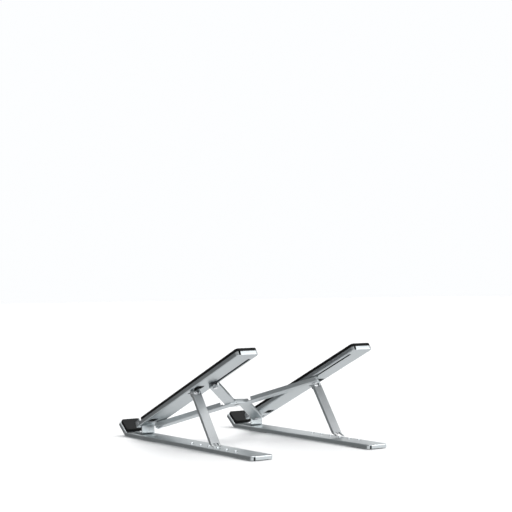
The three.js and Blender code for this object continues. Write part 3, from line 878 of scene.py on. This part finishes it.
def bar(bottom, flange_gap):
    """A dog-leg channel, open above and at its ends, with a hole for each pivot."""
    end = BAR_HALF + BAR_OVERHANG
    height = -BAR_CLEAR - bottom
    shape = tray(dog_leg(end + 6, 0.3), THIN_SHEET, THIN_BEND, height)
    keep = slab(dog_leg(end, 3.2), -2, height + 2)
    shape = combined(shape, keep, "INTERSECT")
    cutters = [hole(0, 0, -1, height + 1, SMALL_HOLE_RADIUS)]
    for side in (-1, 1):
        cutters.append(hole(side * BAR_OFFSET, -side * BAR_HALF, -1, height + 1, SMALL_HOLE_RADIUS))
    shape = cut(shape, *cutters)
    if flange_gap:
        gap = box(-KNEE_SPAN, KNEE_SPAN, -flange_gap, flange_gap, THIN_SHEET + 0.3, height + 1)
        shape = cut(shape, gap)
    return moved(shape, Matrix.Translation((0, 0, bottom)))


# ---------------------------------------------------------------- rivets, pins and washers


def low_head(low):
    """The profile of a flattened head under a bar, up to where the shank begins."""
    head = [(0, low - 0.8), (1.6, low - 0.8), (2.4, low - 0.6), (HEAD_RADIUS, low - 0.3)]
    return [*head, (HEAD_RADIUS, low), (SMALL_PIN_RADIUS, low)]


def high_head(high):
    """The profile of a button head inside the arm, from the end of the shank."""
    rim = high + HEAD_RIM
    head = [(SMALL_PIN_RADIUS, high), (HEAD_RADIUS, high), (HEAD_RADIUS, rim)]
    return head + dome(HEAD_RADIUS, rim, HEAD_RISE)


def pivot_rivet(bottom):
    return lathe(low_head(bottom - GAP) + high_head(SHEET + GAP))


def slider_pin(bottom):
    """A headed pin with a collar between the bar and the washer under the arm."""
    low = bottom + THIN_SHEET + GAP
    high = -2 * GAP - WASHER_THICKNESS
    shank, collar = SMALL_PIN_RADIUS, COLLAR_RADIUS
    middle = [(shank, low), (collar, low), (collar, high), (shank, high)]
    return lathe(low_head(bottom - GAP) + middle + high_head(SHEET + GAP))


def centre_rivet():
    low = LOWER_BAR_BOTTOM - GAP
    high = UPPER_BAR_BOTTOM + THIN_SHEET + GAP
    head, rim = CENTRE_HEAD_RADIUS, high + 0.3
    profile = [(0, low - 0.9), (1.9, low - 0.85), (2.8, low - 0.55), (RING_RADIUS, low - 0.2)]
    profile += [(RING_RADIUS, low), (SMALL_PIN_RADIUS, low), (SMALL_PIN_RADIUS, high), (head, high)]
    return lathe(profile + [(head, rim)] + dome(head, rim, HEAD_RISE))


def ring(low, high):
    """A washer or spacer with eased edges, a closed ring."""
    radius = RING_RADIUS
    mesh = slab(rectangle(-radius, radius, -radius, radius, radius - 0.001), low, high, 0.15, 0.15, arc=2)
    return cut(mesh, hole(0, 0, low - 1, high + 1, SMALL_HOLE_RADIUS))


def on_arm(s):
    return ARM @ Matrix.Translation((PIVOT_OFFSET, s, 0))


# ---------------------------------------------------------------- the stand


def rails_and_brackets():
    pair(rail("right"), "rail", BASE, base_body, RAIL_LOOKS, SHEET_EDGE, twin=rail("left"))
    lip_turn = BASE @ Matrix.Rotation(-LIP_ANGLE, 4, "X")
    pair(lip_pad(), "lip_pad", lip_turn, base_body, (SILICONE,), 0)
    pair(foot(*FRONT_FOOT), "foot_front", BASE, base_body, (SILICONE,), 0)
    rear = RAIL_LENGTH - SHEET - GAP - 0.5
    pair(foot(REAR_FOOT_FRONT, rear), "foot_rear", BASE, base_body, (SILICONE,), 0)
    pair(bracket(), "hinge_bracket", BASE, base_body, SHEET_LOOKS, BRACKET_EDGE)
    for label, x in (("inner", -RIVET_SPREAD), ("outer", RIVET_SPREAD)):
        place = BASE @ Matrix.Translation((x, RIVET_Y, 0))
        node = f"bracket_rivet_{label}"
        pair(bracket_rivet(), node, place, base_body, (STEEL,), TURNED_EDGE)
    half = WIDTH / 2 - 0.15
    place = Matrix.Translation((SIDE_X, HINGE.y, HINGE.z)) @ SIDE_VIEW
    pair(rod(PIN_RADIUS, -half, half), "hinge_pin", place, base_body, (STEEL,), 0)


def arms_and_struts():
    pair(arm("right"), "arm", ARM, arm_body, SHEET_LOOKS, SHEET_EDGE, twin=arm("left"))
    pair(arm_pad(), "arm_pad", ARM, arm_body, (SILICONE,), 0)
    pair(strut(), "strut", STRUT, strut_body, STRUT_LOOKS, STRUT_EDGE, twin_matrix=LEFT_STRUT)
    half = STRUT_WIDTH / 2 + 0.3
    pin = rod(SMALL_PIN_RADIUS, -half, half, 0.2)
    place, left_place = STRUT @ SIDE_VIEW, LEFT_STRUT @ SIDE_VIEW
    pair(pin, "strut_pin", place, arm_body, (STEEL,), 0, twin_matrix=left_place)


def pivots():
    """Rivets and sliders. The lower bar pivots on the right arm and slides in the left one."""
    for side, turn, pivoted, sliding in (
        ("right", Matrix.Identity(4), LOWER_BAR_BOTTOM, UPPER_BAR_BOTTOM),
        ("left", MIRROR, UPPER_BAR_BOTTOM, LOWER_BAR_BOTTOM),
    ):
        low_place = turn @ on_arm(LOWER_PIVOT_S)
        high_place = turn @ on_arm(UPPER_PIVOT_S)
        spacer = ring(pivoted + THIN_SHEET + GAP, -GAP)
        washer = ring(-GAP - WASHER_THICKNESS, -GAP)
        body, bar_body = arm_body(side), far_bar(side)
        for label, mesh, place, rides, look, slot in (
            ("pivot_rivet", pivot_rivet(pivoted), low_place, body, STEEL, "steel"),
            ("pivot_spacer", spacer, low_place, body, NYLON, "nylon"),
            ("slider_pin", slider_pin(sliding), high_place, bar_body, STEEL, "steel"),
            ("slider_washer", washer, high_place, bar_body, NYLON, "nylon"),
        ):
            piece = settled(mesh, f"{label}_{side}_fine", place, (look,), TURNED_EDGE)
            fit(piece, rides, f"{label}_{side}")


def scissor():
    lower_place = BARS @ Matrix.Rotation(BAR_ANGLE, 4, "Z")
    upper_place = BARS @ Matrix.Rotation(-BAR_ANGLE, 4, "Z") @ MIRROR
    lower_shape, upper_shape = bar(LOWER_BAR_BOTTOM, LOWER_BAR_NOTCH), bar(UPPER_BAR_BOTTOM, 0)
    lower = settled(lower_shape, "bar_lower_fine", lower_place, SHEET_LOOKS, BAR_EDGE)
    upper = settled(upper_shape, "bar_upper_fine", upper_place, SHEET_LOOKS, BAR_EDGE)
    rivet = settled(centre_rivet(), "centre_rivet_fine", BARS, (STEEL,), TURNED_EDGE)
    fit(lower, "lower_bar", "bar_lower")
    fit(upper, "upper_bar", "bar_upper")
    fit(rivet, "lower_bar", "centre_rivet")


# ---------------------------------------------------------------- floor, light and camera


def floor():
    mesh = bmesh.new()
    size = 6.0
    corners = ((-size, -size), (size, -size), (size, size), (-size, size))
    mesh.faces.new([mesh.verts.new((x, y, 0)) for x, y in corners])
    ground = as_object(mesh, "floor")
    shader = Shader("floor_paint")
    cloud = shader.noise(3, 3)
    shader.tones(shader.ranged(cloud, 0, 1), (0.86, 0.86, 0.86), (0.9, 0.9, 0.9))
    shader.roughness(shader.ranged(cloud, 0.6, 0.7))
    ground.data.materials.append(shader.material)
    ground.visible_glossy = False


def grey_card(name, corners, place):
    """A staged dark card that only reflections see: it paints a dark reflection into the bare metal, which
    keeps it from looking washed out.
    """
    mesh = bmesh.new()
    mesh.faces.new([mesh.verts.new((x, y, 0)) for x, y in corners])
    card = as_object(moved(mesh, TO_METRES @ place), name)
    shader = Shader(f"{name}_painted_reflection")
    card_mottle = shader.noise(60, 3)
    # dark grey, shown only as a painted dark reflection in the metal
    shader.tones(shader.ranged(card_mottle, 0, 1), (0.16, 0.165, 0.17), (0.2, 0.205, 0.21))
    shader.roughness(shader.ranged(card_mottle, 0.7, 0.8))
    card.data.materials.append(shader.material)
    card.visible_camera = False
    card.visible_diffuse = False
    card.visible_shadow = False


def grey_cards():
    """One where a laptop's underside would be, over the arms, and a low one in front of the lips: each
    paints a dark reflection into the metal.
    """
    over_arms = Matrix.Translation((0, BEND_Y + ARM_START_Y, FOOT_PROUD)) @ Matrix.Rotation(TILT, 4, "X")
    above = over_arms @ Matrix.Translation((0, 0, PAD_TOP + 6))
    grey_card("card_above", ((-180, 90), (25, 90), (25, 262), (-180, 262)), above)
    upright = Matrix.Translation((0, -150, 0)) @ Matrix.Rotation(math.pi / 2, 4, "X")
    grey_card("card_front", ((-270, 1), (50, 1), (50, 32), (-270, 32)), upright)


def softbox(name, place, target, size, power):
    data = bpy.data.lights.new(name, "AREA")
    data.shape = "RECTANGLE"
    data.size, data.size_y = size
    data.energy = power
    light = bpy.data.objects.new(name, data)
    light.location = place
    light.rotation_euler = (Vector(target) - Vector(place)).to_track_quat("-Z", "Y").to_euler()
    bpy.context.scene.collection.objects.link(light)


def surroundings():
    """A white studio, dimmer overhead, to the front right and to the rear right."""
    world = bpy.data.worlds.new("studio")
    world.use_nodes = True
    nodes, links = world.node_tree.nodes, world.node_tree.links
    backdrop = nodes["Background"]
    way = nodes.new("ShaderNodeTexCoord").outputs["Generated"]

    def facing(direction, start, end, low, high):
        dot = nodes.new("ShaderNodeVectorMath")
        dot.operation = "DOT_PRODUCT"
        dot.inputs[1].default_value = Vector(direction).normalized()
        links.new(way, dot.inputs[0])
        spread = nodes.new("ShaderNodeMapRange")
        spread.interpolation_type = "SMOOTHSTEP"
        spread.inputs["From Min"].default_value = start
        spread.inputs["From Max"].default_value = end
        spread.inputs["To Min"].default_value = low
        spread.inputs["To Max"].default_value = high
        links.new(dot.outputs["Value"], spread.inputs["Value"])
        return spread.outputs["Result"]

    def times(first, second):
        node = nodes.new("ShaderNodeMath")
        node.operation = "MULTIPLY"
        links.new(first, node.inputs[0])
        links.new(second, node.inputs[1])
        return node.outputs["Value"]

    wide = (math.cos(math.radians(58)), math.cos(math.radians(20)))
    narrow = (math.cos(math.radians(30)), math.cos(math.radians(12)))
    front_right = facing((0.574, -0.819, 0.0), *wide, 1, 0.2)
    rear_right = facing((0.83, 0.36, 0.43), *narrow, 1, 0.2)
    ceiling = facing((0, 0, 1), 0.5, 0.9, 1, 0.6)
    links.new(times(times(front_right, rear_right), ceiling), backdrop.inputs["Strength"])
    backdrop.inputs["Color"].default_value = (0.98, 0.99, 1.0, 1)
    bpy.context.scene.world = world


def studio():
    surroundings()
    centre = (0, 0, 0.05)
    sun = bpy.data.lights.new("high_window", "SUN")
    sun.energy = 1.9
    sun.angle = math.radians(60)
    window = bpy.data.objects.new("high_window", sun)
    window.rotation_euler = Vector((0.35, 0.1, -1)).to_track_quat("-Z", "Y").to_euler()
    bpy.context.scene.collection.objects.link(window)
    softbox("rear_side", (-1.1, 1.5, 0.7), centre, (1.1, 0.8), 10)
    bpy.context.scene.view_settings.view_transform = "Standard"


def camera():
    """Behind the stand, low, to its right."""
    data = bpy.data.cameras.new("camera")
    data.lens = 95.8
    data.sensor_width = 36
    data.clip_start = 0.05
    viewer = bpy.data.objects.new("camera", data)
    viewer.location = (0.8020, 1.1604, 0.1749)
    heading = Vector((-0.5740, -0.8188, 0.0120))
    roll = Matrix.Rotation(math.radians(-0.2), 4, "Z")
    viewer.matrix_world = (
        Matrix.Translation(viewer.location) @ heading.to_track_quat("-Z", "Y").to_matrix().to_4x4() @ roll
    )
    bpy.context.scene.collection.objects.link(viewer)
    bpy.context.scene.camera = viewer


rails_and_brackets()
arms_and_struts()
pivots()
scissor()
floor()
grey_cards()
studio()
camera()

bpy.context.view_layer.update()
